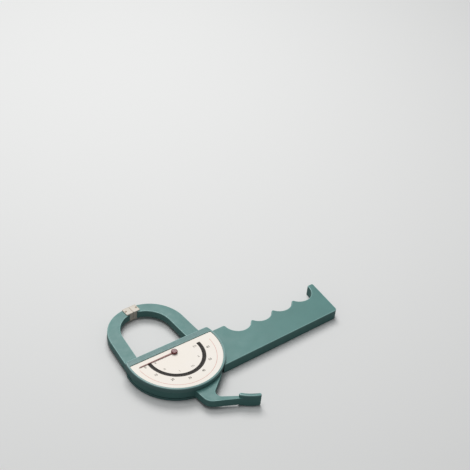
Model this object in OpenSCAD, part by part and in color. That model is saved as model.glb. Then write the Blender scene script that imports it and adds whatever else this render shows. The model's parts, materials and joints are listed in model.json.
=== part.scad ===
// Skinfold caliper: a moulded handle with a fixed jaw, a sprung moving jaw with a thumb lever,
// and a half-round dial whose needle is geared up from the moving jaw.
//
// The needle's axis stands on the origin and the back lies on z = 0. +X runs along the handle,
// +Y towards the jaw tips and +Z out of the dial. Everything is drawn with the jaws closed.
// The moving jaw turns counterclockwise about its pivot to open, and the needle turns with it.

/* [Handle] */
// Distance from the needle's axis to the lower corner of the handle's end
handle_l = 149.5; // [130:0.5:180]
// Distance from the needle's axis to the handle's straight lower edge
handle_low = 30.2; // [28:0.2:34]
// Height of the handle's upper edge beside the dial housing
handle_high = 6.8; // [6:0.2:10]
// How far the handle's end leans outwards at the top
handle_lean = 3.8; // [0:0.2:8]
// Radius of the handle's lower end corner
handle_corner_r = 3; // [2:0.5:6]
// Number of finger grooves
groove_count = 4; // [2:1:5]
// Distance from one finger groove to the next
groove_pitch = 22.2; // [19:0.1:25]
// Radius of a finger groove
groove_r = 12; // [11:0.5:15]
// Depth of a finger groove below the handle's upper edge
groove_depth = 13.4; // [9:0.2:15]
// Radius of the crest between two grooves
crest_r = 1.5; // [1.2:0.1:3]
// Thickness of the body's walls round the cored back of the handle
wall = 2.6; // [1.8:0.1:4]
// Width of a rib between two cored pockets
rib_w = 2.2; // [1.6:0.1:4]
// Number of cored pockets in the back of the handle
pocket_count = 6; // [5:1:8]

/* [Body] */
// Height of the handle's and the jaws' top face above the back
body_h = 9.6; // [8:0.1:12]
// How far the housing's seat stays inside the body's edges
seat_inset = 1.2; // [0.6:0.1:2]
// Thickness of the back cover
cover_t = 2.4; // [2:0.1:3.5]
// Gap between the back cover and the mouldings around it
cover_gap = 0.2; // [0.1:0.05:0.4]

/* [Dial housing] */
// Outer radius of the half-round dial housing
housing_r = 41.3; // [39:0.1:50]
// Distance from the needle's axis to the housing's flat side
housing_flat = 10.9; // [10.6:0.1:14]
// Radius of the housing's two corners
housing_corner_r = 2.4; // [1.5:0.1:4]
// Width of the rim along the dial's arc
rim_w = 1.7; // [1.4:0.1:4]
// Width of the rim along the dial's flat side
flat_rim_w = 5.8; // [2:0.1:6.5]
// Height of the rim above the floor that carries the dial plate
rim_h = 1.2; // [1:0.1:4]
// Thickness of the housing's floor
floor_t = 3.2; // [1.2:0.1:4]
// Thickness of the dial plate
plate_t = 0.4; // [0.3:0.1:0.8]
// Turn of the housing and its dial about the needle's axis, in degrees
dial_turn = -1.6; // [-4:0.1:4]

/* [Jaws] */
// Distance of the pads' contact plane from the needle's axis
contact_x = 2; // [1:0.1:4]
// Height of the jaws' arcs' centre above the needle's axis
arch_y = 34.9; // [32:0.1:42]
// Outer radius of the jaws' arcs
arch_r = 31.8; // [29:0.1:35]
// Width of the fixed jaw where it enters the housing
fixed_root_w = 12.4; // [10:0.1:14]
// Width of the moving jaw where it enters the housing
moving_root_w = 11.9; // [10:0.1:14]
// Width of both jaws at their tips
tip_w = 7.5; // [6:0.1:9]
// Outward lean of the moving jaw's shank, in degrees
moving_lean = 9; // [6:0.5:12]
// Widest opening angle of the jaws, in degrees
open_angle = 45; // [30:1:45]

/* [Pads] */
// Thickness of a pad between the jaw's tip and the contact plane
pad_t = 3.6; // [2.5:0.1:5]
// Width of a pad's contact face
pad_w = 7.8; // [7.6:0.1:11]
// How far a pad's cheeks reach back over the jaw's tip
pad_lap = 3; // [2.5:0.1:5]
// Thickness of a pad's cheeks above and below the jaw
cheek_t = 1; // [0.6:0.1:1.5]
// Gap left between the two closed pads
pad_gap = 0.05; // [0.02:0.01:0.2]
// Radius of the pin that holds a pad on its jaw
pad_pin_r = 0.9; // [0.6:0.1:1.2]

/* [Gearing] */
// Gear module
gear_m = 0.6; // [0.5:0.05:0.65]
// Teeth of a full ring of the moving jaw's internal gear
ring_teeth = 77; // [72:1:80]
// Teeth of the needle's pinion
pinion_teeth = 21; // [18:1:24]
// Play between the teeth, measured on the pitch circle
backlash = 0.16; // [0.1:0.01:0.3]
// Outer radius of the moving jaw's hub disc, which carries the internal gear
disc_r = 27; // [26:0.1:28]
// Clearance between the hub disc and the fixed body
disc_gap = 2.6; // [2.2:0.1:3]

/* [Pivot and needle] */
// Radius of the pivot pin
pivot_r = 2.5; // [2:0.1:3]
// Wall of the pivot's bush
bush_wall = 1.5; // [1:0.1:2]
// Thickness of the thrust washers
washer_t = 0.35; // [0.2:0.05:0.6]
// Radius of the needle's arbor
arbor_r = 1; // [0.8:0.05:1.2]
// Radial clearance of a shaft in its bearing
running_gap = 0.05; // [0.02:0.01:0.1]
// Radial clearance of a pressed or screwed-in piece
seat_gap = 0.02; // [0:0.01:0.05]
// End play of the moving pieces
end_play = 0.05; // [0.02:0.01:0.1]
// Length of the needle from its axis to its tip
needle_l = 34; // [28:0.5:38]
// Thickness of the needle
needle_t = 0.4; // [0.3:0.1:0.6]
// Width of the needle at its axis
needle_w = 1.1; // [0.8:0.1:2]
// Gap between the dial plate and the needle
needle_lift = 0.4; // [0.3:0.1:1.5]
// Radius of the needle's cap
cap_r = 2.65; // [2.2:0.05:3.5]
// Height of the needle's cap
cap_h = 1.4; // [1:0.1:2.4]

/* [Thumb lever] */
// Length of the thumb rest
rest_l = 18; // [14:0.5:24]
// Thickness of the thumb rest
rest_t = 3; // [2.4:0.1:4]
// Height of the thumb rest's top above the back
rest_top = 12.4; // [10:0.1:14]
// Height of the thumb rest's underside above the back
rest_low = 0.6; // [0.3:0.1:2.4]
// Radius of the thumb rest's curve
rest_curve_r = 40; // [30:1:80]

/* [Return spring] */
// Mean radius of the return spring's coil
coil_r = 6.6; // [6.4:0.1:6.8]
// Thickness of the spring's wire
wire_d = 0.8; // [0.5:0.1:0.9]
// Whole turns of the coil, besides the part turn between its legs
coil_turns = 1; // [1:1:1]
// Length of the spring's straight legs
leg_l = 10; // [8:0.5:11]

/* [Fasteners] */
// Thread radius of the screws
screw_r = 1.25; // [1:0.05:1.5]
// Head radius of the screws
screw_head_r = 2.3; // [2:0.1:2.6]

/* [Hidden] */

$fn = 48;
chord_error = 0.035;  // how far a facet may leave its arc
edge_steps = 2;       // facets across a softened edge
cut = 1;              // how far a cutting solid runs past the face that it opens

teal = "#6C9C97";
teal_dark = "#5F8F8B";
ivory = "#E4DACB";
white = "#FBF6EC";
red = "#A02630";
dark_red = "#6E1F2A";
steel = "#B9BDC1";
brass = "#C2A25A";
nylon = "#E9E6DC";

// Levels, from the back upwards
plate_gap = washer_t + end_play;
jaw_low = cover_t + plate_gap;                 // underside of the moving jaw
floor_low = body_h + plate_gap;                // underside of the housing
floor_top = floor_low + floor_t;
rim_top = floor_top + rim_h;
plate_top = floor_top + plate_t;
needle_low = plate_top + needle_lift;
cap_low = needle_low + needle_t;

// Pivot of the moving jaw: the pads' contact plane passes through it
ring_pitch_r = gear_m*ring_teeth/2;
pinion_pitch_r = gear_m*pinion_teeth/2;
gear_centres = ring_pitch_r - pinion_pitch_r;
pivot = [contact_x, -sqrt(gear_centres*gear_centres - contact_x*contact_x)];
mesh_angle = atan2(-pivot.y, -pivot.x);        // from the pivot to the needle's axis
pressure_angle = 20;
pinion_tip_r = pinion_pitch_r + gear_m;
pinion_root_r = pinion_pitch_r - 1.25*gear_m;
ring_tip_r = ring_pitch_r - gear_m;
ring_root_r = ring_pitch_r + 1.25*gear_m;
tooth_w = PI*gear_m/2;                         // on the pitch circle, without play
sweep_r = disc_r + disc_gap;                   // the fixed body stays outside this radius
hub_r = gear_centres - pinion_tip_r - 0.6;     // the moving jaw's hub, clear of the pinion

// Jaws: distances from the contact plane outwards
arch_top = arch_y + arch_r;
fixed_outer_u = 1;
fixed_inner_u = -1.9;
moving_outer_u = 4.3;
moving_inner_u = 1.4;
pad_mid_y = arch_top - tip_w/2;
pin_proud = 0.12;

// Back cover and the rim of the moving jaw's plate
cover_r = housing_r - 1.1;
cover_flat = housing_flat - 0.4;

// Dial recess
recess_r = housing_r - rim_w;
recess_flat = housing_flat - flat_rim_w;
recess_corner_r = 1;
plate_inset = 0.15;

// Handle: places of the grooves
first_groove_x = handle_l - 14.2 - (groove_count - 1)*groove_pitch;
groove_y = handle_high - groove_depth + groove_r;
hook_r = 1.3;
shoulder_r = 2;
root_corner_r = 2;
pocket_top = handle_high - groove_depth - 1.4*wall;
pocket_first_x = housing_r + 5;

// Screws: into the fixed body, clear of the sweep of the hub disc
screw_ring_r = housing_r - 4.9;
cover_screw_at = [[contact_x + 26.6, 4.6],
                  screw_ring_r*[cos(-4), sin(-4)],
                  screw_ring_r*[cos(-21), sin(-21)]];
housing_screw_at = [turned([housing_r - 8, recess_flat - screw_head_r - 0.5], dial_turn),
                    (screw_ring_r - 0.5)*[cos(-12.5), sin(-12.5)]];
cover_screw_l = 7;
housing_screw_l = 5;
head_h = 1.1;

// Pivot hardware
pivot_head_r = 4;
pivot_head_h = 0.8;
clip_t = 0.4;
clip_r = 4.2;
clip_pocket_r = 5;
clip_pocket_h = 1.3;
clip_groove_r = pivot_r - 0.35;
bush_r = pivot_r + running_gap + bush_wall;
arbor_bush_r = 2.2;
arbor_low = 0.8;

// Return spring and its room in the moving jaw
coil_room_in = coil_r - wire_d/2 - 0.9;
coil_room_out = coil_r + wire_d/2 + 1;
coil_room_top = jaw_low + 3.9;
coil_low = jaw_low + 0.8;
coil_high = coil_room_top - 0.7;
fixed_leg_angle = -10;
moving_leg_angle = 250;
leg_end_angle = atan(leg_l/coil_r);
post_r = 0.9;
post_at = pivot + (coil_r + wire_d/2 + post_r + 0.1)*[cos(fixed_leg_angle), sin(fixed_leg_angle)]
          + (leg_l - 0.8)*[sin(fixed_leg_angle), -cos(fixed_leg_angle)];
wire_sides = 6;
turn_rings = 24;

// ---- Outlines ----

function unit(v) = v/norm(v);
function polar(c, r, a) = c + r*[cos(a), sin(a)];

// Steps of an arc whose facets leave it by no more than chord_error
function arc_steps(r, sweep) = max(2, ceil(abs(sweep)/(2*acos(1 - chord_error/r))));

// Points along an arc from angle a0 to angle a1
function arc(c, r, a0, a1) =
    let (n = arc_steps(r, a1 - a0)) [for (i = [0:n]) polar(c, r, a0 + (a1 - a0)*i/n)];

// A turn brought to between -180 and 180 degrees
function short_turn(a) = a - 360*round(a/360);

// Points that round the corner at b, between a and c, with radius r
function corner(a, b, c, r) =
    let (u = unit(a - b), v = unit(c - b), half = acos(u*v)/2,
         centre = b + unit(u + v)*r/sin(half),
         first = b + u*r/tan(half) - centre, last = b + v*r/tan(half) - centre,
         a0 = atan2(first.y, first.x), turn = short_turn(atan2(last.y, last.x) - a0))
    arc(centre, r, a0, a0 + turn);

// The outline without points that repeat the one before
function clean(pts) =
    let (n = len(pts)) [for (i = [0:n-1]) if (norm(pts[i] - pts[(i + n - 1) % n]) > 0.01) pts[i]];

// A closed counterclockwise outline moved inwards by e
function inset(pts, e) =
    let (n = len(pts))
    [for (i = [0:n-1])
        let (p = pts[i], d = unit(p - pts[(i + n - 1) % n]), f = unit(pts[(i + 1) % n] - p))
        p + e*[-d.y - f.y, d.x + f.x]/(1 + d*f)];

// A point turned about the origin
function turned(p, a) = [p.x*cos(a) - p.y*sin(a), p.x*sin(a) + p.y*cos(a)];

// A half disc round the origin: radius r, flat side at y = flat, corners of radius c
function half_disc(r, flat, c) =
    let (x = sqrt((r - c)*(r - c) - (flat - c)*(flat - c)), a = atan2(flat - c, x))
    clean(concat(arc([x, flat - c], c, a, 90), arc([-x, flat - c], c, 90, 180 - a),
                 arc([0, 0], r, 180 - a, 360 + a)));

// The half disc of the dial, turned as the housing is
function dial_disc(r, flat, c) = [for (p = half_disc(r, flat, c)) turned(p, dial_turn)];

// A rectangle with rounded corners
function round_box(x0, y0, x1, y1, r) =
    clean(concat(arc([x1 - r, y0 + r], r, -90, 0), arc([x1 - r, y1 - r], r, 0, 90),
                 arc([x0 + r, y1 - r], r, 90, 180), arc([x0 + r, y0 + r], r, 180, 270)));

// ---- Solids from outlines ----

// Levels [height, inset] of a slab whose lower and upper edges are softened
function levels(z0, z1, low_r, top_r) =
    let (turns = [for (i = [0:edge_steps]) 90*i/edge_steps])
    concat(
        low_r > 0 ? [for (t = turns) [z0 + low_r*(1 - cos(t)), low_r*(1 - sin(t))]] : [[z0, 0]],
        top_r > 0 ? [for (t = turns) [z1 - top_r*(1 - sin(t)), top_r*(1 - cos(t))]] : [[z1, 0]]);

// A slab with the given outline between two heights, its edges softened
module slab(outline, z0, z1, low_r, top_r) {
    rows = levels(z0, z1, low_r, top_r);
    n = len(outline);
    points = [for (row = rows) for (p = inset(outline, row[1])) [p.x, p.y, row[0]]];
    sides = [for (k = [0:len(rows)-2]) for (i = [0:n-1])
        let (j = (i + 1) % n, a = k*n + i, b = k*n + j, c = a + n, d = b + n) each [[a, c, d], [a, d, b]]];
    bottom = [for (i = [0:n-1]) i];
    top = [for (i = [n-1:-1:0]) (len(rows) - 1)*n + i];
    polyhedron(points, concat(sides, [bottom, top]));
}

// A plain prism of an outline
module prism(outline, z0, z1) {
    translate([0, 0, z0]) linear_extrude(z1 - z0) polygon(outline);
}

// A round hole or pin along z
module bar(at, r, z0, z1) {
    translate([at.x, at.y, z0]) cylinder(h = z1 - z0, r = r);
}

// A tube from z0 to z1
module tube(at, r_in, r_out, z0, z1) {
    difference() {
        bar(at, r_out, z0, z1);
        bar(at, r_in, z0 - cut, z1 + cut);
    }
}

// ---- Jaw outlines ----
// An arm is drawn as distances u from the contact plane outwards and heights y. Its outer arc has its
// centre at outer_u, its inner arc at inner_u, and its shank leans outwards by lean degrees.

function arm_inner_r(outer_u, inner_u, root_w, lean) =
    ((outer_u - inner_u)*cos(lean) + (arch_y - arch_top + tip_w)*sin(lean) + arch_r - root_w)/(1 - sin(lean));

// Point of the outer (inner) edge of the shank at height y
function shank_u(centre_u, centre_y, r, lean, y) =
    (centre_u*cos(lean) + centre_y*sin(lean) + r - y*sin(lean))/cos(lean);

fixed_inner_r = arm_inner_r(fixed_outer_u, fixed_inner_u, fixed_root_w, 0);
fixed_inner_y = arch_top - tip_w - fixed_inner_r;
moving_inner_r = arm_inner_r(moving_outer_u, moving_inner_u, moving_root_w, moving_lean);
moving_inner_y = arch_top - tip_w - moving_inner_r;

// Place of a point given by its distance from the contact plane
function on_fixed(p) = [contact_x + p.x, p.y];
function on_moving(p) = [contact_x - p.x, p.y];

// The grooved upper edge of the handle, from the end back towards the housing
function groove_centre(i) = [first_groove_x + i*groove_pitch, groove_y];
crest_y = groove_y - sqrt(pow(groove_r + crest_r, 2) - pow(groove_pitch/2, 2));
crest_angle = atan2(crest_y - groove_y, groove_pitch/2);
hook_y = handle_high - hook_r;
hook_x = groove_centre(groove_count - 1).x + sqrt(pow(groove_r + hook_r, 2) - pow(hook_y - groove_y, 2));
hook_angle = atan2(hook_y - groove_y, hook_x - groove_centre(groove_count - 1).x);
shoulder_y = handle_high - shoulder_r;
shoulder_x = first_groove_x - sqrt(pow(groove_r + shoulder_r, 2) - pow(shoulder_y - groove_y, 2));
shoulder_angle = atan2(shoulder_y - groove_y, shoulder_x - first_groove_x);

function groove_edge(i) =
    concat(
        i == groove_count - 1 ? arc([hook_x, hook_y], hook_r, 90, 180 + hook_angle)
                              : arc([groove_centre(i).x + groove_pitch/2, crest_y], crest_r, 90,
                                    180 + crest_angle),
        arc(groove_centre(i), groove_r,
            i == groove_count - 1 ? hook_angle : crest_angle,
            i == 0 ? shoulder_angle - (shoulder_angle > 0 ? 360 : 0) : -180 - crest_angle),
        i == 0 ? arc([shoulder_x, shoulder_y], shoulder_r,
                     shoulder_angle + (shoulder_angle > 0 ? -180 : 180), 90)
               : arc([groove_centre(i).x - groove_pitch/2, crest_y], crest_r, -crest_angle, 90));

// The handle and the fixed jaw, counterclockwise from the sweep of the hub disc
end_low = [handle_l, -handle_low];
end_high = [handle_l + handle_lean, handle_high];
frame_outer_x = contact_x + fixed_outer_u + arch_r;
frame_inner_x = contact_x + fixed_inner_u + fixed_inner_r;
sweep_low_angle = -asin((handle_low + pivot.y)/sweep_r);
sweep_high_angle = acos((frame_inner_x - pivot.x)/sweep_r);
frame_outline = clean(concat(
    corner([housing_r, -handle_low], end_low, end_high, handle_corner_r),
    corner(end_low, end_high, [hook_x, handle_high], hook_r),
    [for (i = [groove_count-1:-1:0]) each groove_edge(i)],
    corner([shoulder_x, handle_high], [frame_outer_x, handle_high], [frame_outer_x, arch_y], root_corner_r),
    arc([contact_x + fixed_outer_u, arch_y], arch_r, 0, acos((pad_t - fixed_outer_u)/arch_r)),
    arc([contact_x + fixed_inner_u, fixed_inner_y], fixed_inner_r,
        acos((pad_t - fixed_inner_u)/fixed_inner_r), 0),
    arc(pivot, sweep_r, sweep_high_angle, sweep_low_angle)));

// Thumb lever: the notch beside the housing, and the rest at its end
notch = [pivot.x - 2.5, -housing_r - 11];
elbow = [pivot.x - 9.5, -housing_r - 13.6];
notch_r = 5;
elbow_r = 9;
disc_first = -50;
neck_root = polar(pivot, disc_r, disc_first);  // where the lever's upper edge leaves the hub disc
neck_side = turned(unit(notch - neck_root), 90);
neck_gap = 0.65;                               // gap between the neck and the handle's corner
neck_depth = 6;                                // how deep the neck's room reaches into the neck itself
// Where the lever's neck comes to lie when the jaws are wide open, with its gap towards the handle
neck_room = [for (p = [neck_root - neck_depth*neck_side, notch - neck_depth*neck_side,
                       notch + neck_gap*neck_side, neck_root + neck_gap*neck_side])
             pivot + turned(p - pivot, open_angle)];
rest_mid = [pivot.x + 21.4, -housing_r - 27.8];
rest_slope = 235.8;                            // direction from the rest's centre of curvature to the rest
rest_centre = polar(rest_mid, rest_curve_r, rest_slope - 180);
rest_half = (rest_l - rest_t)/2/rest_curve_r*180/PI;
rest_outline = clean(concat(
    arc(rest_centre, rest_curve_r + rest_t/2, rest_slope - rest_half, rest_slope + rest_half),
    arc(polar(rest_centre, rest_curve_r, rest_slope + rest_half), rest_t/2, rest_slope + rest_half,
        rest_slope + rest_half + 180),
    arc(rest_centre, rest_curve_r - rest_t/2, rest_slope + rest_half, rest_slope - rest_half),
    arc(polar(rest_centre, rest_curve_r, rest_slope - rest_half), rest_t/2, rest_slope - rest_half + 180,
        rest_slope - rest_half + 360)));

// The moving jaw, counterclockwise from its tip: arm, rim of the plate, thumb lever, hub disc, web
moving_outer = [contact_x - moving_outer_u, arch_y];
moving_inner = [contact_x - moving_inner_u, moving_inner_y];
shank_normal = 180 - moving_lean;
shank_offset = moving_outer.x*cos(shank_normal) + moving_outer.y*sin(shank_normal) + arch_r;
rim_first = shank_normal + acos(shank_offset/cover_r);
rim_last = 258;
web_y = 4.4;                                   // height of the web between the moving arm and the hub disc
web_r = 4;
web_corner = on_moving([shank_u(moving_inner_u, moving_inner_y, moving_inner_r, moving_lean, web_y), web_y]);
disc_last = 128;
lever_end_low = polar(rest_centre, rest_curve_r + 0.9*rest_t/2, rest_slope - rest_half/2);
lever_end_high = polar(rest_centre, rest_curve_r - 0.9*rest_t/2, rest_slope - rest_half/2);
jaw_outline = clean(concat(
    arc(moving_outer, arch_r, acos((moving_outer_u - pad_t)/arch_r), shank_normal),
    arc([0, 0], cover_r, rim_first, rim_last),
    corner(polar([0, 0], cover_r, rim_last), elbow, lever_end_low, elbow_r),
    [lever_end_low, lever_end_high],
    corner(lever_end_high, notch, neck_root, notch_r),
    arc(pivot, disc_r, disc_first, disc_last),
    corner(polar(pivot, disc_r, disc_last), web_corner,
           polar(moving_inner, moving_inner_r, shank_normal), web_r),
    arc(moving_inner, moving_inner_r, shank_normal, acos((moving_inner_u - pad_t)/moving_inner_r))));

// ---- Gearing ----

// Involute function of the pressure angle at radius r of a gear with base radius rb
function inv_at(rb, r) = let (a = acos(min(1, rb/r))) tan(a)*180/PI - a;

// Half the angle that a tooth of thickness w on pitch radius rp spans at radius r
function half_tooth(rp, w, r) =
    let (rb = rp*cos(pressure_angle)) w/2/rp*180/PI + inv_at(rb, rp) - inv_at(rb, max(r, rb));

flank_steps = 3;
// One tooth from radius r0 to radius r1, pointing along angle a
function tooth(rp, w, r0, r1, a) =
    let (radii = [for (i = [0:flank_steps]) r0 + (r1 - r0)*i/flank_steps])
    concat([for (r = radii) polar([0, 0], r, a - half_tooth(rp, w, r))],
           [for (i = [flank_steps:-1:0]) polar([0, 0], radii[i], a + half_tooth(rp, w, radii[i]))]);

pinion_outline = [for (k = [0:pinion_teeth-1])
    each tooth(pinion_pitch_r, tooth_w - backlash/2, pinion_root_r, pinion_tip_r,
               mesh_angle + k*360/pinion_teeth)];

// Angles, from the moving jaw's pivot, at which its internal gear has a tooth space
ring_step = 360/ring_teeth;
reach_angle = acos((gear_centres*gear_centres + ring_tip_r*ring_tip_r - pinion_tip_r*pinion_tip_r)
                   /(2*gear_centres*ring_tip_r));
last_space = ceil(reach_angle/ring_step);
first_space = -ceil((open_angle + reach_angle)/ring_step);

// The room that the pinion crosses in the moving jaw, with the teeth of the internal gear on its far side
module gear_window() {
    room_r = pinion_tip_r + 0.6;
    intersection() {
        translate(pivot) circle(ring_tip_r);
        union() {
            for (a = [mesh_angle, mesh_angle - open_angle])
                translate(polar(pivot, gear_centres, a)) circle(room_r);
            difference() {
                polygon(concat([pivot], arc(pivot, disc_r, mesh_angle - open_angle, mesh_angle)));
                translate(pivot) circle(hub_r);
            }
        }
    }
    translate(pivot)
        for (k = [first_space:last_space])
            polygon(tooth(ring_pitch_r, tooth_w + backlash/2, ring_tip_r - 0.3, ring_root_r,
                          mesh_angle + k*ring_step));
}

// ---- Sub-parts ----

// A pad saddle on the tip of a jaw, drawn for the jaw on the +u side of the contact plane
module pad(side) {
    x0 = pad_gap/2;
    x1 = pad_t + pad_lap;
    outline = round_box(x0, pad_mid_y - pad_w/2, x1, pad_mid_y + pad_w/2, 0.8);
    translate([contact_x, 0, 0]) mirror([side < 0 ? 1 : 0, 0, 0]) difference() {
        slab(outline, jaw_low - cheek_t, body_h + cheek_t, 0.5, 0.5);
        translate([pad_t, 0, jaw_low]) cube([x1, 2*arch_top, body_h - jaw_low]);
        bar([pad_t + pad_lap/2, pad_mid_y], pad_pin_r + seat_gap, 0, body_h + cheek_t + cut);
    }
}

// The pin through a pad's cheeks and the jaw's tip, a little proud of both cheeks
module pad_pin(side) {
    bar([contact_x + side*(pad_t + pad_lap/2), pad_mid_y], pad_pin_r,
        jaw_low - cheek_t - pin_proud, body_h + cheek_t + pin_proud);
}

module pad_pin_hole(side) {
    bar([contact_x + side*(pad_t + pad_lap/2), pad_mid_y], pad_pin_r + seat_gap, 0, body_h + cut);
}

// The handle, the fixed jaw and the solid root between them, in one moulding
module handle_frame() {
    color(teal) difference() {
        union() {
            prism(frame_outline, 0, body_h);
            // Seat under the housing
            intersection() {
                prism(inset(frame_outline, seat_inset), body_h - 1, floor_low);
                prism(dial_disc(cover_r - 0.4, cover_flat, housing_corner_r), body_h - 1, floor_low);
            }
        }
        // Room for the back cover and for the arm's undercut
        prism(half_disc(cover_r + cover_gap, cover_flat + cover_gap, housing_corner_r), -cut, cover_t);
        translate([contact_x, cover_flat + cover_gap, -cut])
            cube([arch_r + cut + 2, arch_top, jaw_low + cut]);
        // Cored back of the handle
        handle_pockets();
        // Corner that clears the lever's neck
        prism(neck_room, -cut, body_h + cut);
        for (at = cover_screw_at) bar(at, screw_r + seat_gap, 0, cover_screw_l + 0.4);
        for (at = housing_screw_at)
            bar(at, screw_r + seat_gap, floor_low - housing_screw_l - 0.4, floor_low + cut);
        pad_pin_hole(1);
    }
}

module handle_pockets() {
    last_x = handle_l - wall - 1;
    step = (last_x - pocket_first_x + rib_w)/pocket_count;
    for (i = [0:pocket_count-1]) {
        x0 = pocket_first_x + i*step;
        prism(round_box(x0, wall - handle_low, x0 + step - rib_w, pocket_top, 1.5), -cut, body_h - wall);
    }
}

// The moving jaw, its internal gear and the thumb lever, in one moulding
module moving_jaw() {
    color(teal) difference() {
        union() {
            prism(jaw_outline, jaw_low, body_h);
            slab(rest_outline, rest_low, rest_top, 0.9, 0.9);
        }
        translate([0, 0, jaw_low - cut]) linear_extrude(body_h - jaw_low + 2*cut) gear_window();
        bar(pivot, bush_r + seat_gap, jaw_low - cut, body_h + cut);
        tube(pivot, coil_room_in, coil_room_out, jaw_low - cut, coil_room_top);
        spring_leg_room();
        pad_pin_hole(-1);
    }
}

// Recesses in the moving jaw's underside: a sector that the spring's fixed leg crosses as the jaw
// turns, and a slot that holds its moving leg
module spring_leg_room() {
    room_r = leg_l/sin(leg_end_angle) + 1.2;
    low = fixed_leg_angle - leg_end_angle - open_angle - 8;
    high = fixed_leg_angle + 14;
    translate([0, 0, jaw_low - cut]) linear_extrude(cut + coil_low - jaw_low + wire_d)
        difference() {
            polygon(concat([pivot], arc(pivot, room_r, low, high)));
            translate(pivot) circle(coil_room_in);
        }
    translate([pivot.x, pivot.y, jaw_low - cut]) rotate(moving_leg_angle)
        translate([coil_r - wire_d, 0, 0]) cube([2*wire_d, leg_l + 0.6, cut + coil_high - jaw_low + wire_d]);
}

// The shallow tray that holds the dial plate
module dial_housing() {
    color(teal_dark) difference() {
        slab(dial_disc(housing_r, housing_flat, housing_corner_r), floor_low, rim_top, 0.4, 0.9);
        prism(dial_disc(recess_r, recess_flat, recess_corner_r), floor_top, rim_top + cut);
        bar(pivot, pivot_r + seat_gap, floor_low - cut, floor_top + cut);
        bar(pivot, pivot_head_r + seat_gap, floor_top - pivot_head_h, floor_top + cut);
        bar([0, 0], arbor_bush_r + seat_gap, floor_low - cut, floor_top + cut);
        for (at = housing_screw_at) {
            bar(at, screw_r + seat_gap, floor_low - cut, floor_top + cut);
            screw_sink(at, floor_top, 1);
        }
    }
}

// The flat cover that closes the mechanism from the back
module back_cover() {
    color(teal_dark) difference() {
        slab(half_disc(cover_r, cover_flat, housing_corner_r), 0, cover_t, 0.6, 0);
        bar(pivot, pivot_r + seat_gap, -cut, cover_t + cut);
        bar(pivot, clip_pocket_r, -cut, clip_pocket_h);
        bar([0, 0], arbor_bush_r + seat_gap, arbor_low - 0.2, cover_t + cut);
        bar(post_at, post_r + seat_gap, arbor_low, cover_t + cut);
        for (at = cover_screw_at) {
            bar(at, screw_r + seat_gap, -cut, cover_t + cut);
            screw_sink(at, 0, -1);
        }
    }
}

// The white dial plate, without its print
module dial_plate() {
    color(white) difference() {
        prism(dial_disc(recess_r - plate_inset, recess_flat - plate_inset, recess_corner_r),
              floor_top, plate_top);
        bar([0, 0], arbor_r + 0.7, floor_top - cut, plate_top + cut);
    }
}

module needle() {
    color(red) rotate(dial_turn) difference() {
        union() {
            bar([0, 0], cap_r - 0.5, needle_low, cap_low);
            prism([[0, needle_w/2], [2 - needle_l, needle_w/4], [-needle_l, 0], [2 - needle_l, -needle_w/4],
                   [0, -needle_w/2]], needle_low, cap_low);
        }
        bar([0, 0], arbor_r + seat_gap, needle_low - cut, cap_low + cut);
    }
}

module needle_cap() {
    soft = 0.6;
    color(dark_red) difference() {
        translate([0, 0, cap_low]) rotate_extrude()
            polygon(concat([[0, 0], [cap_r, 0]], arc([cap_r - soft, cap_h - soft], soft, 0, 90),
                           [[0, cap_h]]));
        bar([0, 0], arbor_r + seat_gap, cap_low - cut, cap_low + 0.7*cap_h);
    }
}

module needle_arbor() {
    color(steel) bar([0, 0], arbor_r, arbor_low, cap_low + 0.6*cap_h);
}

module needle_pinion() {
    hub = pinion_root_r - 1.6;
    color(brass) difference() {
        union() {
            prism(pinion_outline, jaw_low + 1, body_h - 1);
            bar([0, 0], hub, jaw_low + 0.2, body_h - 0.2);
        }
        bar([0, 0], arbor_r + seat_gap, 0, body_h + cut);
    }
}

module upper_arbor_bush() {
    color(brass) tube([0, 0], arbor_r + running_gap, arbor_bush_r, floor_low - 0.2, floor_top);
}

module lower_arbor_bush() {
    color(brass) tube([0, 0], arbor_r + running_gap, arbor_bush_r, arbor_low - 0.2, jaw_low);
}

// The pivot pin, with a head under the dial plate and a clip's groove at the back
module pivot_pin() {
    clip_z = clip_pocket_h - clip_t - 0.05;
    color(steel) difference() {
        union() {
            bar(pivot, pivot_r, 0.3, floor_top - pivot_head_h + 0.01);
            bar(pivot, pivot_head_r, floor_top - pivot_head_h, floor_top);
        }
        tube(pivot, clip_groove_r, pivot_r + cut, clip_z - 0.02, clip_z + clip_t + 0.02);
    }
}

module pivot_bush() {
    color(brass) tube(pivot, pivot_r + running_gap, bush_r, jaw_low, body_h);
}

module upper_pivot_washer() {
    color(nylon) tube(pivot, pivot_r + 2*running_gap, coil_room_in - 0.3, floor_low - washer_t, floor_low);
}

module lower_pivot_washer() {
    color(nylon) tube(pivot, pivot_r + 2*running_gap, coil_room_in - 0.3, cover_t, cover_t + washer_t);
}

// The retaining clip: an open ring with three lobes, in the pin's groove
module pivot_clip() {
    lobe_r = clip_groove_r + 0.6;
    color(steel) translate([pivot.x, pivot.y, clip_pocket_h - clip_t - 0.05]) linear_extrude(clip_t)
        difference() {
            circle(clip_r);
            circle(clip_groove_r + seat_gap);
            for (a = [-60, 60]) rotate(a) translate([0.55*clip_r, -0.6]) square([0.4*clip_r, 1.2]);
            polygon([[0, 0], polar([0, 0], 2*clip_r, 155), polar([0, 0], 2*clip_r, 205)]);
        }
}

module fixed_jaw_pad() {
    color(ivory) pad(1);
}

module moving_jaw_pad() {
    color(ivory) pad(-1);
}

module fixed_pad_pin() {
    color(steel) pad_pin(1);
}

module moving_pad_pin() {
    color(steel) pad_pin(-1);
}

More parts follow.
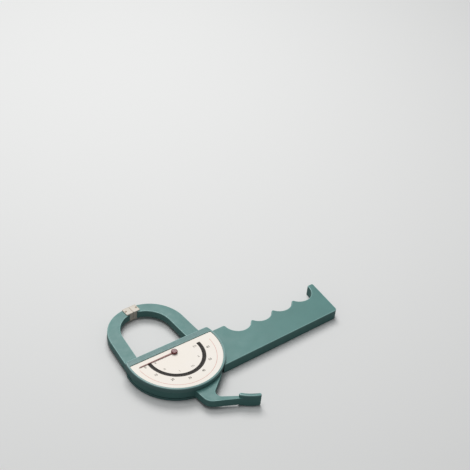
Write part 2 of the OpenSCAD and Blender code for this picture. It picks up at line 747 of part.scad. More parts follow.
// Path of the return spring's wire: a straight leg, the coil, and a second straight leg
coil_sweep = moving_leg_angle - fixed_leg_angle + 360*coil_turns;
coil_rings = ceil(coil_sweep/360*turn_rings);
function leg_point(a, along, z) =
    [pivot.x + coil_r*cos(a) - along*sin(a), pivot.y + coil_r*sin(a) + along*cos(a), z];
spring_path = concat(
    [for (t = [leg_l, leg_l/2]) leg_point(fixed_leg_angle, -t, coil_low)],
    [for (i = [0:coil_rings])
        let (a = fixed_leg_angle + coil_sweep*i/coil_rings)
        leg_point(a, 0, coil_low + (coil_high - coil_low)*i/coil_rings)],
    [for (t = [leg_l/2, leg_l]) leg_point(moving_leg_angle, t, coil_high)]);

// One unbroken wire of radius r along a path that never runs along z
module wire(path, r) {
    n = len(path);
    points = [for (i = [0:n-1])
        let (d = unit(path[min(n - 1, i + 1)] - path[max(0, i - 1)]),
             side = unit(cross(d, [0, 0, 1])), up = cross(side, d))
        for (k = [0:wire_sides-1]) let (a = 360*k/wire_sides) path[i] + r*(cos(a)*side + sin(a)*up)];
    skin = [for (i = [0:n-2]) for (k = [0:wire_sides-1])
        let (m = (k + 1) % wire_sides, a = i*wire_sides + k, b = i*wire_sides + m)
        each [[a, a + wire_sides, b + wire_sides], [a, b + wire_sides, b]]];
    first = [for (k = [0:wire_sides-1]) k];
    last = [for (k = [wire_sides-1:-1:0]) (n - 1)*wire_sides + k];
    polyhedron(points, concat(skin, [first, last]));
}

module return_spring() {
    color(steel) wire(spring_path, wire_d/2);
}

// The post on the back cover that holds the spring's fixed leg
module spring_post() {
    color(steel) bar(post_at, post_r, arbor_low, coil_low + wire_d);
}

// The cone that a countersunk head fills; up is 1 where the head faces +z and -1 where it faces -z
module screw_sink(at, face, up) {
    translate([at.x, at.y, face]) mirror([0, 0, up > 0 ? 1 : 0])
        translate([0, 0, -0.01])
            cylinder(h = head_h + 0.01, r1 = screw_head_r + seat_gap, r2 = screw_r + seat_gap);
}

// A countersunk screw with a cross recess, its head's face at the given height
module screw(at, face, up, length) {
    translate([at.x, at.y, face]) mirror([0, 0, up > 0 ? 1 : 0]) difference() {
        union() {
            cylinder(h = head_h, r1 = screw_head_r, r2 = screw_r);
            cylinder(h = length, r = screw_r);
        }
        for (a = [0, 90]) rotate(a) translate([-1.2, -0.3, -cut]) cube([2.4, 0.6, cut + 0.7]);
    }
}

module housing_screws() {
    color(steel) for (at = housing_screw_at) screw(at, floor_top, 1, housing_screw_l + floor_t);
}

module cover_screws() {
    color(steel) for (at = cover_screw_at) screw(at, 0, -1, cover_screw_l);
}

handle_frame();
moving_jaw();
dial_housing();
back_cover();
dial_plate();
needle();
needle_cap();
needle_arbor();
needle_pinion();
upper_arbor_bush();
lower_arbor_bush();
pivot_pin();
pivot_bush();
upper_pivot_washer();
lower_pivot_washer();
pivot_clip();
fixed_jaw_pad();
moving_jaw_pad();
fixed_pad_pin();
moving_pad_pin();
return_spring();
spring_post();
housing_screws();
cover_screws();
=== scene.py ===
"""Looks of a skinfold caliper: eased mouldings, printed dial, finishes and a plain studio stage.

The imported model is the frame. Its nodes keep their places, each moulding is shown by a merged copy
with eased edges, and the dial's print is laid on the dial plate.
"""

import json
import math

import bmesh
import bpy
import numpy as np
from bpy.props import FloatProperty, FloatVectorProperty, PointerProperty
from mathutils import Matrix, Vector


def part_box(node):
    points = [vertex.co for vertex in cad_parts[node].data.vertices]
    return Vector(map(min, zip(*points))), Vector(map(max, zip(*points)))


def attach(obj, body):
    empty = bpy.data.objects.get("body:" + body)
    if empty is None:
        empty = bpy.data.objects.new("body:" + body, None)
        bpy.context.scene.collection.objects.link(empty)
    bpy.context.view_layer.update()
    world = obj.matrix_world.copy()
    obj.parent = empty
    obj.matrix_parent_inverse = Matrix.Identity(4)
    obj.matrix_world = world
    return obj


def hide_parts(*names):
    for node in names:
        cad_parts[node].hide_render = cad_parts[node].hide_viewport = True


bl_info = {
    "name": "Skinfold Caliper",
    "version": (1, 0, 0),
    "blender": (4, 5, 0),
    "location": "3D View > Sidebar > Caliper",
    "description": "Eases the mouldings, prints the dial and gives every piece of a caliper its finish",
    "category": "Object",
}

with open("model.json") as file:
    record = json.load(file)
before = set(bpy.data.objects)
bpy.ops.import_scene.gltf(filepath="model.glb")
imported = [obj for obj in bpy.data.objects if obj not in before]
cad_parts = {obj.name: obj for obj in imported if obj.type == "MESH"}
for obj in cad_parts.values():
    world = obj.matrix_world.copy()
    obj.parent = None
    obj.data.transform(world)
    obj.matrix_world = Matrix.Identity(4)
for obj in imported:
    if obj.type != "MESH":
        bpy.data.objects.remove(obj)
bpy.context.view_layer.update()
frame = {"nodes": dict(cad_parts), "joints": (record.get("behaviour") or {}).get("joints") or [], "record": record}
nodes = frame["nodes"]
MM = 0.001

jaw_joint = next(j for j in frame["joints"] if j["name"] == "jaw_pivot")
PIVOT = np.array(jaw_joint["pos_m"][:2])
GEAR_RATIO = frame["record"]["behaviour"]["couplings"][0]["ratio"]
PLATE_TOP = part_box("dial_plate")[1].z
PAD_LOW, PAD_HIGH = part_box("fixed_jaw_pad")
CONTACT = np.array([PAD_LOW.x, (PAD_LOW.y + PAD_HIGH.y) / 2])
PAD_REACH = PAD_HIGH.x - PAD_LOW.x
HANDLE_LOW, HANDLE_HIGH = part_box("handle_frame")
HOUSING_LOW, HOUSING_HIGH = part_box("dial_housing")
INCH = 25.4 * MM
DIAL_TURN = math.radians(-1.6)
PRINT_CENTRE = np.array([-0.6, -1.6]) * MM
BAND_ANGLES = (math.radians(178.6), math.radians(358.0))
LINE_ANGLES = (math.radians(182.0), math.radians(356.0))
ZERO_SHIFT = (math.radians(4.0), math.radians(6.0))
TICK_WIDTH = 0.2 * MM
TICK_INSET = 0.12 * MM

MERGE_GAP = 0.0005 * MM
SLIVER = 0.001 * MM
FLAT_BEND = math.radians(0.5)
EASE_STEPS = 3
CREASE = math.radians(32)
ROUND_CREASE = math.radians(40)
LEVEL, UPRIGHT = 0.98, 0.02
SLANT = (0.15, 0.97)
PIVOT_HOUSING = 26.0 * MM
LEVER_END = -60.0 * MM

FLOOR_HALF, FLOOR_DROP = 3.0, 0.1 * MM
LAMPS_AIM = (0.05, 0.0, 0.0)
KEY_AT, KEY_SIZE = (0.30, 0.60, 1.00), 0.6
FILL_AT, FILL_SIZE = (-0.15, 0.10, 1.20), 0.5
SENSOR = 36.0


# ---- Settings ----


def colour(name, description, default):
    """A linear colour that the panel shows."""
    return FloatVectorProperty(
        name=name, description=description, default=default, subtype="COLOR", size=3, min=0.0, max=1.0
    )


def length(name, description, default):
    """A length that the panel shows in the scene's unit."""
    return FloatProperty(
        name=name, description=description, default=default, min=0.0, unit="LENGTH", precision=5
    )


def angle(name, description, degrees):
    """An angle that the panel shows."""
    return FloatProperty(name=name, description=description, default=math.radians(degrees), subtype="ANGLE")


def strength(name, description, default):
    """A lamp's power or the even light's strength."""
    return FloatProperty(name=name, description=description, default=default, min=0.0)


class CaliperColours(bpy.types.PropertyGroup):
    """Colours of the caliper's pieces."""

    body: colour("Body", "Handle, jaws and thumb lever", (0.093, 0.238, 0.220))
    shell: colour("Shell", "Dial housing and back cover", (0.110, 0.233, 0.222))
    dial: colour("Dial", "Dial plate", (0.955, 0.890, 0.820))
    ink: colour("Ink", "Scale band", (0.013, 0.010, 0.008))
    number: colour("Numbers", "Numbers of both scales", (0.110, 0.095, 0.075))
    tick: colour("Ticks", "Graduation lines in the band", (0.190, 0.165, 0.135))
    line: colour("Outer line", "Fine line round the dial", (0.760, 0.480, 0.420))
    needle: colour("Needle", "Painted needle", (0.260, 0.075, 0.062))
    cap: colour("Cap", "Needle's cap", (0.150, 0.011, 0.014))
    pad: colour("Pads", "Jaw pads", (0.680, 0.612, 0.520))
    pin: colour("Pad pins", "Dull pins of the jaw pads", (0.270, 0.225, 0.180))
    steel: colour("Steel", "Pins, posts and screws", (0.470, 0.480, 0.490))
    spring: colour("Spring", "Spring wire", (0.330, 0.340, 0.350))
    brass: colour("Brass", "Bushes and pinion", (0.600, 0.420, 0.160))
    nylon: colour("Nylon", "Thrust washers", (0.780, 0.760, 0.700))


class CaliperSizes(bpy.types.PropertyGroup):
    """Sizes of the eased edges and of the dial's print."""

    body_ease: length("Body edges", "Radius of the body's outer edges", 0.6 * MM)
    rim_ease: length("Rim edges", "Radius of the edges of the dial's rim", 0.4 * MM)
    pocket_ease: length("Pocket edges", "Radius of the edges of the handle's back pockets", 0.3 * MM)
    ink_height: length("Ink height", "Thickness of the print", 0.02 * MM)
    band_in: length("Band, inside", "Inner radius of the dark band", 21.95 * MM)
    band_out: length("Band, outside", "Outer radius of the dark band", 25.3 * MM)
    number_at: length("Number radius", "Radius of the outer numbers", 28.5 * MM)
    inch_at: length("Inch radius", "Radius of the inner numbers", 19.0 * MM)
    number_size: length("Number size", "Size of the outer numbers", 2.9 * MM)
    inch_size: length("Inch size", "Size of the inner numbers", 2.5 * MM)
    line_at: length("Line radius", "Radius of the fine outer line", 34.0 * MM)
    line_width: length("Line width", "Width of the fine outer line", 0.45 * MM)


class CaliperStage(bpy.types.PropertyGroup):
    """Camera, lamps and floor."""

    azimuth: angle("Azimuth", "Camera's bearing", -42.544)
    elevation: angle("Elevation", "Camera's height above the horizon", 39.164)
    roll: angle("Roll", "Camera's tilt", 6.732)
    camera_at: FloatVectorProperty(
        name="Camera", description="Camera's place", default=(-0.512938, -0.613958, 0.792426),
        subtype="TRANSLATION",
    )
    lens: FloatProperty(name="Lens", description="Focal length in millimetres", default=106.431, min=10.0)
    floor: colour("Floor", "Studio floor", (0.800, 0.795, 0.785))
    key: strength("Key", "Power of the large lamp behind the caliper", 8.0)
    fill: strength("Fill", "Power of the soft lamp overhead", 3.6)
    ambient: strength("Ambient", "Strength of the even light", 0.24)
    ambient_tint: colour("Ambient tint", "Colour of the even light", (0.92, 0.97, 1.0))


def settings():
    """The caliper's settings in the open scene."""
    return bpy.context.scene.caliper


class CaliperSettings(bpy.types.PropertyGroup):
    """All settings of the caliper."""

    colours: PointerProperty(type=CaliperColours, name="Colours", description="Colours of the pieces")
    sizes: PointerProperty(type=CaliperSizes, name="Sizes", description="Sizes of edges and print")
    stage: PointerProperty(type=CaliperStage, name="Stage", description="Camera, lamps and floor")


# ---- Finishes ----


def blank_material(name):
    """A material with its shader, and short calls that add nodes and links."""
    material = bpy.data.materials.new(name)
    material.use_nodes = True
    tree = material.node_tree
    shader = tree.nodes["Principled BSDF"]

    def add(kind, **inputs):
        node = tree.nodes.new(kind)
        for key, value in inputs.items():
            node.inputs[key.replace("_", " ")].default_value = value
        return node

    return material, shader, add, tree.links.new


def place(add, link, stretch=(1.0, 1.0, 1.0)):
    """Object coordinates, stretched along each axis."""
    where = add("ShaderNodeTexCoord")
    mapping = add("ShaderNodeMapping")
    mapping.inputs["Scale"].default_value = stretch
    link(where.outputs["Object"], mapping.inputs["Vector"])
    return mapping.outputs["Vector"]


def ramp(add, low, high, at=(0.3, 0.7)):
    """A colour ramp from one colour to another."""
    node = add("ShaderNodeValToRGB")
    for element, where, value in zip(node.color_ramp.elements, at, (low, high)):
        element.position = where
        element.color = (*value, 1.0)
    return node


def shade(value, factor):
    """A colour made darker or lighter."""
    return tuple(min(1.0, channel * factor) for channel in value)


def grey(value):
    """A grey as a colour."""
    return (value, value, value)


def plastic(name, base, rough=(0.36, 0.50), mottle=0.05, grain=(2600.0, 0.02), scatter=0.0):
    """Moulded plastic: a cloudy tone, uneven gloss and a fine spark-eroded grain.

    grain is (how fine, its depth in millimetres), and scatter the share of light that goes into the skin.
    """
    material, shader, add, link = blank_material(name)
    where = place(add, link)
    clouds = add("ShaderNodeTexNoise", Scale=45.0, Detail=4.0, Roughness=0.55)
    tone = ramp(add, shade(base, 1.0 - mottle), shade(base, 1.0 + mottle))
    link(where, clouds.inputs["Vector"])
    link(clouds.outputs["Fac"], tone.inputs["Fac"])
    link(tone.outputs["Color"], shader.inputs["Base Color"])
    smears = add("ShaderNodeTexNoise", Scale=160.0, Detail=3.0, Roughness=0.6)
    gloss = ramp(add, grey(rough[0]), grey(rough[1]))
    link(where, smears.inputs["Vector"])
    link(smears.outputs["Fac"], gloss.inputs["Fac"])
    link(gloss.outputs["Color"], shader.inputs["Roughness"])
    skin = add("ShaderNodeTexNoise", Scale=grain[0], Detail=2.0, Roughness=0.5)
    bump = add("ShaderNodeBump", Strength=0.35, Distance=grain[1] * MM)
    link(where, skin.inputs["Vector"])
    link(skin.outputs["Fac"], bump.inputs["Height"])
    link(bump.outputs["Normal"], shader.inputs["Normal"])
    if scatter:
        shader.inputs["Subsurface Weight"].default_value = scatter
        shader.inputs["Subsurface Radius"].default_value = (1.0, 0.8, 0.6)
        shader.inputs["Subsurface Scale"].default_value = 0.8 * MM
    return material


def metal(name, base, rough=(0.22, 0.38), stretch=(1.0, 1.0, 9.0)):
    """Turned or drawn metal: fine tool marks that run round the piece."""
    material, shader, add, link = blank_material(name)
    where = place(add, link, stretch)
    marks = add("ShaderNodeTexNoise", Scale=700.0, Detail=5.0, Roughness=0.65)
    tone = ramp(add, shade(base, 0.85), shade(base, 1.1))
    gloss = ramp(add, grey(rough[0]), grey(rough[1]))
    bump = add("ShaderNodeBump", Strength=0.25, Distance=0.01 * MM)
    link(where, marks.inputs["Vector"])
    for target in (tone, gloss):
        link(marks.outputs["Fac"], target.inputs["Fac"])
    link(tone.outputs["Color"], shader.inputs["Base Color"])
    link(gloss.outputs["Color"], shader.inputs["Roughness"])
    link(marks.outputs["Fac"], bump.inputs["Height"])
    link(bump.outputs["Normal"], shader.inputs["Normal"])
    shader.inputs["Metallic"].default_value = 1.0
    return material


def card(name, base):
    """The dial's printed card: a matt warm white with a faint fibre and a little yellowing."""
    material, shader, add, link = blank_material(name)
    where = place(add, link)
    age = add("ShaderNodeTexNoise", Scale=28.0, Detail=5.0, Roughness=0.6)
    tone = ramp(add, (base[0] * 0.985, base[1] * 0.965, base[2] * 0.925), base)
    fibre = add("ShaderNodeTexNoise", Scale=1900.0, Detail=3.0, Roughness=0.6)
    bump = add("ShaderNodeBump", Strength=0.2, Distance=0.008 * MM)
    link(where, age.inputs["Vector"])
    link(age.outputs["Fac"], tone.inputs["Fac"])
    link(tone.outputs["Color"], shader.inputs["Base Color"])
    link(where, fibre.inputs["Vector"])
    link(fibre.outputs["Fac"], bump.inputs["Height"])
    link(bump.outputs["Normal"], shader.inputs["Normal"])
    shader.inputs["Roughness"].default_value = 0.45
    return material


def ink(name, base, wear=0.12):
    """Printing ink that is a little thinner in places."""
    material, shader, add, link = blank_material(name)
    where = place(add, link)
    blots = add("ShaderNodeTexNoise", Scale=900.0, Detail=4.0, Roughness=0.6)
    tone = ramp(add, base, tuple(min(1.0, channel * (1.0 + 3.0 * wear) + 0.012) for channel in base))
    link(where, blots.inputs["Vector"])
    link(blots.outputs["Fac"], tone.inputs["Fac"])
    link(tone.outputs["Color"], shader.inputs["Base Color"])
    shader.inputs["Roughness"].default_value = 0.6
    shader.inputs["Specular IOR Level"].default_value = 0.25
    return material


def floor_paper(base):
    """The studio floor: as pale as written to the camera, and darker to light that bounces off it."""
    material, shader, add, link = blank_material("floor_paper")
    seen = add("ShaderNodeLightPath")
    tone = ramp(add, shade(base, 0.35), base, at=(0.0, 1.0))
    link(seen.outputs["Is Camera Ray"], tone.inputs["Fac"])
    link(tone.outputs["Color"], shader.inputs["Base Color"])
    shader.inputs["Roughness"].default_value = 0.9
    shader.inputs["Specular IOR Level"].default_value = 0.2
    return material


def worn(base):
    """The paler, whiter tone painted on moulded edges as a highlight, where they would catch the lamps."""
    return tuple(min(1.0, 1.4 * channel + 0.12) for channel in base)


def dress(piece, material):
    """Gives a piece one material."""
    piece.data.materials.clear()
    piece.data.materials.append(material)


def dress_node(node, material):
    """Gives a node of the frame another finish in its own material slots."""
    for slot in nodes[node].material_slots:
        slot.material = material


# ---- Mesh helpers ----


def new_piece(name, points, faces, material, body):
    """A piece from arrays of points and faces, riding on a body."""
    mesh = bpy.data.meshes.new(name)
    mesh.from_pydata(points.tolist(), [], faces.tolist())
    mesh.validate()
    piece = bpy.data.objects.new(name, mesh)
    bpy.context.scene.collection.objects.link(piece)
    dress(piece, material)
    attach(piece, body)
    return piece


def thicken(piece, height):
    """A printed shape gets the ink's thickness, upwards."""
    layer = piece.modifiers.new("ink", "SOLIDIFY")
    layer.thickness = height
    layer.offset = 1.0
    layer.use_even_offset = False


def to_circle(radius, angle):
    """Distance from the needle's axis to a printed circle, along an angle.

    The print's centre c lies a little off the axis. Along the unit vector u the circle of radius r is
    at the distance c.u + sqrt(r^2 - |c|^2 + (c.u)^2).
    """
    along = PRINT_CENTRE[0] * np.cos(angle) + PRINT_CENTRE[1] * np.sin(angle)
    return along + np.sqrt(np.asarray(radius) ** 2 - PRINT_CENTRE @ PRINT_CENTRE + along**2)


def ring_sector(r_in, r_out, start, end, z, steps):
    """Points and faces of a flat sector of a printed ring.

    The point at (i, j) is d_ij (cos a_i, sin a_i), with a_i going evenly from start to end and d_ij the
    distance from the needle's axis to one of the two circles.
    """
    a, radius = np.meshgrid(np.linspace(start, end, steps + 1), [r_in, r_out], indexing="ij")
    r = to_circle(radius, a)
    points = np.stack([r * np.cos(a), r * np.sin(a), np.full(a.shape, z)], -1).reshape(-1, 3)
    i = np.arange(steps) * 2
    return points, np.stack([i, i + 1, i + 3, i + 2], -1)


def radial_lines(angles, r_in, r_out, width, z):
    """Points and faces of straight lines that point away from the needle's axis.

    A line at angle a has the corners d (cos a, sin a) + s w/2 (-sin a, cos a), with d the distance to
    one of its two circles and s either -1 or 1.
    """
    a = angles[:, None]
    r = to_circle(np.stack([r_in, r_out, r_out, r_in], -1), a)
    s = np.array([-0.5, -0.5, 0.5, 0.5])[None, :] * width
    x = r * np.cos(a) - s * np.sin(a)
    y = r * np.sin(a) + s * np.cos(a)
    points = np.stack([x, y, np.full(x.shape, z)], -1).reshape(-1, 3)
    return points, np.arange(len(angles) * 4).reshape(-1, 4)


def needle_angle(opening):
    """Where the needle points when the pads are that far apart.

    The jaw turns by 2 asin(opening / 2 reach) about its pivot, and the gear multiplies that turn.
    """
    reach = np.hypot(*(CONTACT - PIVOT))
    return math.pi + DIAL_TURN + GEAR_RATIO * 2.0 * np.arcsin(np.asarray(opening) / (2.0 * reach))


def lettering(name, words, angles, radius, size, material):
    """Upright numbers round the dial as one mesh."""
    joined = bmesh.new()
    for word, angle in zip(words, angles):
        text = bpy.data.curves.new(name, "FONT")
        text.body = word
        text.size = size
        text.align_x = "CENTER"
        text.align_y = "CENTER"
        text.extrude = settings().sizes.ink_height / 2
        text.offset = 0.018 * size
        holder = bpy.data.objects.new(name, text)
        bpy.context.scene.collection.objects.link(holder)
        shape = bpy.data.meshes.new_from_object(holder.evaluated_get(bpy.context.evaluated_depsgraph_get()))
        away = to_circle(radius, angle)
        at = (away * math.cos(angle), away * math.sin(angle), PLATE_TOP + text.extrude)
        shape.transform(Matrix.Translation(at))
        joined.from_mesh(shape)
        bpy.data.objects.remove(holder)
        bpy.data.meshes.remove(shape)
    mesh = bpy.data.meshes.new(name)
    joined.to_mesh(mesh)
    joined.free()
    piece = bpy.data.objects.new(name, mesh)
    bpy.context.scene.collection.objects.link(piece)
    dress(piece, material)
    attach(piece, "frame")
    return piece


def smooth_faces(shape, crease):
    """Faces shade smoothly, apart from edges where they meet at more than the crease.

    Faces that slant upwards, which are the eased edges, take the second material, which paints a highlight on
    them.
    """
    for face in shape.faces:
        face.smooth = True
        face.material_index = 1 if SLANT[0] < face.normal.z < SLANT[1] else 0
    for edge in shape.edges:
        edge.smooth = len(edge.link_faces) == 2 and edge.calc_face_angle(0.0) < crease


def rim_edges(shape, keep):
    """Edges where a level face meets an upright one, at places that keep accepts."""
    found = []
    for edge in shape.edges:
        if len(edge.link_faces) != 2:
            continue
        tilt = sorted(abs(face.normal.z) for face in edge.link_faces)
        middle = (edge.verts[0].co + edge.verts[1].co) / 2
        if tilt[0] < UPRIGHT and tilt[1] > LEVEL and edge.is_convex and keep(middle):
            found.append(edge)
    return found


def eased_copy(node, name, material, body, eases=(), crease=CREASE, edge=None):
    """A merged copy of a node with rounded edges, which stands for the node.

    eases lists (radius, keep): the radius of the rounding, and which edges get it. The rounded faces
    take the edge material, a paler tone that paints a highlight on them, if one is given.
    """
    shape = bmesh.new()
    shape.from_mesh(nodes[node].data)
    bmesh.ops.remove_doubles(shape, verts=shape.verts, dist=MERGE_GAP)
    bmesh.ops.dissolve_limit(shape, angle_limit=FLAT_BEND, verts=shape.verts, edges=shape.edges)
    for radius, keep in eases:
        edges = rim_edges(shape, keep)
        bmesh.ops.bevel(
            shape, geom=edges, offset=radius, offset_type="OFFSET", segments=EASE_STEPS, profile=0.5,
            affect="EDGES", clamp_overlap=False,
        )
    bmesh.ops.triangulate(shape, faces=shape.faces)
    bmesh.ops.dissolve_degenerate(shape, dist=SLIVER, edges=shape.edges)
    smooth_faces(shape, crease)
    mesh = bpy.data.meshes.new(name)
    shape.to_mesh(mesh)
    shape.free()
    piece = bpy.data.objects.new(name, mesh)
    bpy.context.scene.collection.objects.link(piece)
    for finish in (material, edge or material):
        mesh.materials.append(finish)
    flat = piece.modifiers.new("flat_faces", "WEIGHTED_NORMAL")
    flat.keep_sharp = True
    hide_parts(node)
    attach(piece, body)
    return piece


def near_tip(point):
    """Whether a point lies under a pad."""
    return abs(point.x - CONTACT[0]) < PAD_REACH + 0.3 * MM and point.y > PAD_LOW.y - 2 * MM


def from_pivot(point):
    """Distance from the jaw's pivot, seen from above."""
    return math.hypot(point.x - PIVOT[0], point.y - PIVOT[1])


def tick_lengths(numbers, long_step, middle_step, lengths):
    """Lengths of graduation lines: long at each long step, middling at each middle step, else short."""
    long, middle, short = lengths
    return np.where(numbers % long_step == 0, long, np.where(numbers % middle_step == 0, middle, short)) * MM


# ---- Operators ----


class CALIPER_OT_mouldings(bpy.types.Operator):
    """Show the handle, the moving jaw, the dial housing and the back cover with eased edges"""

    bl_idname = "caliper.mouldings"
    bl_label = "Mouldings"

    def execute(self, context):
        tint, size = settings().colours, settings().sizes
        body = plastic("teal_body", tint.body)
        # The edge materials are a paler, whiter teal: a painted highlight on the eased edges.
        body_highlight = plastic("teal_body_edge", worn(tint.body), rough=(0.28, 0.40))
        shell = plastic("teal_shell", tint.shell, rough=(0.34, 0.46))
        shell_highlight = plastic("teal_shell_edge", worn(tint.shell), rough=(0.26, 0.38))

        def in_pocket(point):
            across = HOUSING_HIGH.x + 3.0 * MM < point.x < HANDLE_HIGH.x - 5.0 * MM
            along = HANDLE_LOW.y + 1.0 * MM < point.y < -8.5 * MM
            return across and along and point.z < HANDLE_HIGH.z - 1.5 * MM

        def handle_rim(point):
            outside = math.hypot(point.x, point.y) > HOUSING_HIGH.x or point.y > HOUSING_HIGH.y
            return outside and not near_tip(point) and not in_pocket(point)

        def jaw_rim(point):
            return from_pivot(point) > PIVOT_HOUSING and not near_tip(point) and point.y > LEVER_END

        def dial_rim(point):
            return point.z > HOUSING_HIGH.z - 0.1 * MM

        eased_copy("handle_frame", "handle_moulding", body, "frame",
                   [(size.body_ease, handle_rim), (size.pocket_ease, in_pocket)], edge=body_highlight)
        eased_copy("moving_jaw", "jaw_moulding", body, "jaw",
                   [(size.body_ease, jaw_rim)], edge=body_highlight)
        eased_copy("dial_housing", "housing_moulding", shell, "frame",
                   [(size.rim_ease, dial_rim)], edge=shell_highlight)
        eased_copy("back_cover", "cover_moulding", shell, "frame", edge=shell_highlight)
        return {"FINISHED"}


class CALIPER_OT_pads(bpy.types.Operator):
    """Give the jaw pads their ivory finish"""

    bl_idname = "caliper.pads"
    bl_label = "Jaw pads"

    def execute(self, context):
        ivory = plastic("pad_ivory", settings().colours.pad, rough=(0.30, 0.42), mottle=0.03, scatter=0.08)
        eased_copy("fixed_jaw_pad", "fixed_pad_block", ivory, "frame")
        eased_copy("moving_jaw_pad", "moving_pad_block", ivory, "jaw")
        return {"FINISHED"}


class CALIPER_OT_dial(bpy.types.Operator):
    """Print the scale band, its lines and its numbers on the dial plate"""

    bl_idname = "caliper.dial"
    bl_label = "Dial"

    def execute(self, context):
        tint, size = settings().colours, settings().sizes
        dress_node("dial_plate", card("dial_card", tint.dial))
        black = ink("ink_black", tint.ink)
        soft = ink("ink_grey", tint.number)
        pale = ink("ink_pale", tint.tick, wear=0.05)
        rose = ink("ink_rose", tint.line, wear=0.05)
        z, height = PLATE_TOP, size.ink_height

        points, faces = ring_sector(size.band_in, size.band_out, *BAND_ANGLES, z, 180)
        thicken(new_piece("scale_band", points, faces, black, "frame"), height)

        millimetres = np.arange(0, 66)
        reach = tick_lengths(millimetres, 10, 5, (1.9, 1.5, 1.05))
        points, faces = radial_lines(
            needle_angle(millimetres * MM), size.band_out - reach,
            np.full(len(reach), size.band_out - TICK_INSET), TICK_WIDTH, z + height,
        )
        thicken(new_piece("millimetre_lines", points, faces, pale, "frame"), height)

        sixteenths = np.arange(0, 41)
        reach = tick_lengths(sixteenths, 8, 4, (1.0, 0.85, 0.6))
        points, faces = radial_lines(
            needle_angle(sixteenths * INCH / 16), np.full(len(reach), size.band_in + TICK_INSET),
            size.band_in + reach, TICK_WIDTH, z + height,
        )
        thicken(new_piece("inch_lines", points, faces, pale, "frame"), height)

        half = size.line_width / 2
        points, faces = ring_sector(size.line_at - half, size.line_at + half, *LINE_ANGLES, z, 160)
        thicken(new_piece("outer_line", points, faces, rose, "frame"), height)

        tens = np.arange(0, 61, 10)
        spots = needle_angle(tens * MM)
        spots[0] += ZERO_SHIFT[0]
        words = [str(number) for number in tens]
        lettering("millimetre_numbers", words, spots, size.number_at, size.number_size, soft)
        halves = np.arange(0, 6)
        spots = needle_angle(halves * INCH / 2)
        spots[0] += ZERO_SHIFT[1]
        words = ["0", "½", "1", "1½", "2", "2½"]
        lettering("inch_numbers", words, spots, size.inch_at, size.inch_size, soft)
        return {"FINISHED"}


class CALIPER_OT_pointer(bpy.types.Operator):
    """Give the needle, its cap, its arbor and its pinion their finishes"""

    bl_idname = "caliper.pointer"
    bl_label = "Pointer"

    def execute(self, context):
        tint = settings().colours
        paint = plastic("needle_paint", tint.needle, rough=(0.28, 0.36), mottle=0.03, grain=(3000.0, 0.004))
        dress_node("needle", paint)
        gloss = plastic("cap_gloss", tint.cap, rough=(0.18, 0.26), mottle=0.06, grain=(1500.0, 0.004))
        eased_copy("needle_cap", "cap_dome", gloss, "pointer", crease=ROUND_CREASE)
        dress_node("needle_arbor", metal("arbor_steel", tint.steel))
        dress_node("needle_pinion", metal("pinion_brass", tint.brass))
        return {"FINISHED"}


class CALIPER_OT_hardware(bpy.types.Operator):
    """Give the pins, screws, bushes, washers and the spring their finishes"""

    bl_idname = "caliper.hardware"
    bl_label = "Hardware"

    def execute(self, context):
        tint = settings().colours
        steel = metal("ground_steel", tint.steel)
        zinc = metal("zinc_plate", shade(tint.steel, 0.95), rough=(0.30, 0.45), stretch=(1.0, 1.0, 1.0))
        brass = metal("turned_brass", tint.brass)
        nylon = plastic("nylon", tint.nylon, mottle=0.02, scatter=0.1)
        dull = metal("dull_pin", tint.pin, rough=(0.50, 0.65))
        for node in ("pivot_pin", "pivot_clip", "spring_post"):
            dress_node(node, steel)
        for node in ("fixed_pad_pin", "moving_pad_pin"):
            dress_node(node, dull)
        for node in ("housing_screws", "cover_screws"):
            dress_node(node, zinc)
        for node in ("upper_arbor_bush", "lower_arbor_bush", "pivot_bush"):
            dress_node(node, brass)
        for node in ("upper_pivot_washer", "lower_pivot_washer"):
            dress_node(node, nylon)
        dress_node("return_spring", metal("spring_wire", tint.spring))
        return {"FINISHED"}


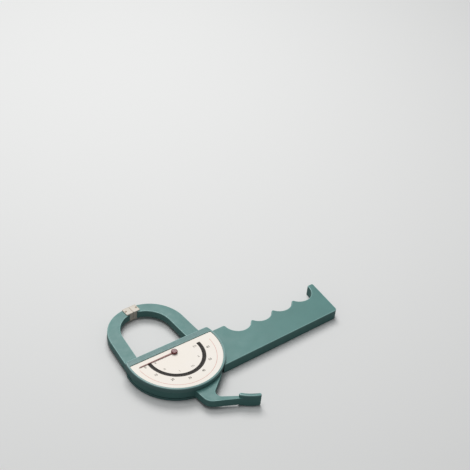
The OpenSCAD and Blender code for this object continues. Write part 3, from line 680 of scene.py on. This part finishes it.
class CALIPER_OT_stage(bpy.types.Operator):
    """Set up the floor, the lamps and the camera"""

    bl_idname = "caliper.stage"
    bl_label = "Stage"

    def execute(self, context):
        stage = settings().stage
        scene = context.scene
        scene.view_settings.view_transform = "Standard"

        floor_mesh = bpy.data.meshes.new("floor")
        half = FLOOR_HALF
        corners = [(-half, -half, 0), (half, -half, 0), (half, half, 0), (-half, half, 0)]
        floor_mesh.from_pydata(corners, [], [(0, 1, 2, 3)])
        floor = bpy.data.objects.new("floor", floor_mesh)
        floor.location.z = -FLOOR_DROP
        scene.collection.objects.link(floor)
        dress(floor, floor_paper(stage.floor))

        world = bpy.data.worlds.new("studio")
        world.use_nodes = True
        sky = world.node_tree.nodes["Background"]
        sky.inputs["Color"].default_value = (*stage.ambient_tint, 1.0)
        sky.inputs["Strength"].default_value = stage.ambient
        scene.world = world

        def lamp(name, at, power, size):
            data = bpy.data.lights.new(name, "AREA")
            data.energy = power
            data.size = size
            holder = bpy.data.objects.new(name, data)
            x, y, z = np.array(at) - np.array(LAMPS_AIM)
            holder.matrix_world = looking(at, math.atan2(x, -y), math.atan2(z, math.hypot(x, y)), 0.0)
            scene.collection.objects.link(holder)

        lamp("key", KEY_AT, stage.key, KEY_SIZE)
        lamp("fill", FILL_AT, stage.fill, FILL_SIZE)

        data = bpy.data.cameras.new("camera")
        data.sensor_fit = "HORIZONTAL"
        data.sensor_width = SENSOR
        data.lens = stage.lens
        data.clip_start, data.clip_end = 0.01, 20.0
        camera = bpy.data.objects.new("camera", data)
        camera.matrix_world = looking(stage.camera_at, stage.azimuth, stage.elevation, stage.roll)
        scene.collection.objects.link(camera)
        scene.camera = camera
        return {"FINISHED"}


def looking(at, azimuth, elevation, roll):
    """Matrix of a camera or lamp that looks back along (sin a cos e, -cos a cos e, sin e), rolled."""
    ca, sa, ce, se = math.cos(azimuth), math.sin(azimuth), math.cos(elevation), math.sin(elevation)
    columns = Matrix(((ca, -sa * se, sa * ce), (sa, ca * se, -ca * ce), (0.0, ce, se))).to_4x4()
    return Matrix.Translation(at) @ columns @ Matrix.Rotation(roll, 4, "Z")


class CALIPER_PT_panel(bpy.types.Panel):
    """Lists the caliper's settings and operators"""

    bl_idname = "CALIPER_PT_panel"
    bl_label = "Skinfold Caliper"
    bl_space_type = "VIEW_3D"
    bl_region_type = "UI"
    bl_category = "Caliper"

    def draw(self, context):
        layout = self.layout
        for group in (settings().colours, settings().sizes, settings().stage):
            box = layout.box()
            for name in group.__annotations__:
                box.prop(group, name)
        for operator in OPERATORS:
            layout.operator(operator.bl_idname)


OPERATORS = (
    CALIPER_OT_mouldings,
    CALIPER_OT_pads,
    CALIPER_OT_dial,
    CALIPER_OT_pointer,
    CALIPER_OT_hardware,
    CALIPER_OT_stage,
)
CLASSES = (CaliperColours, CaliperSizes, CaliperStage, CaliperSettings, *OPERATORS, CALIPER_PT_panel)


def register():
    for cls in CLASSES:
        bpy.utils.register_class(cls)
    bpy.types.Scene.caliper = PointerProperty(type=CaliperSettings)


def unregister():
    del bpy.types.Scene.caliper
    for cls in reversed(CLASSES):
        bpy.utils.unregister_class(cls)


def main():
    register()
    bpy.ops.caliper.mouldings()
    bpy.ops.caliper.pads()
    bpy.ops.caliper.dial()
    bpy.ops.caliper.pointer()
    bpy.ops.caliper.hardware()
    bpy.ops.caliper.stage()


if __name__ == "__main__":
    main()
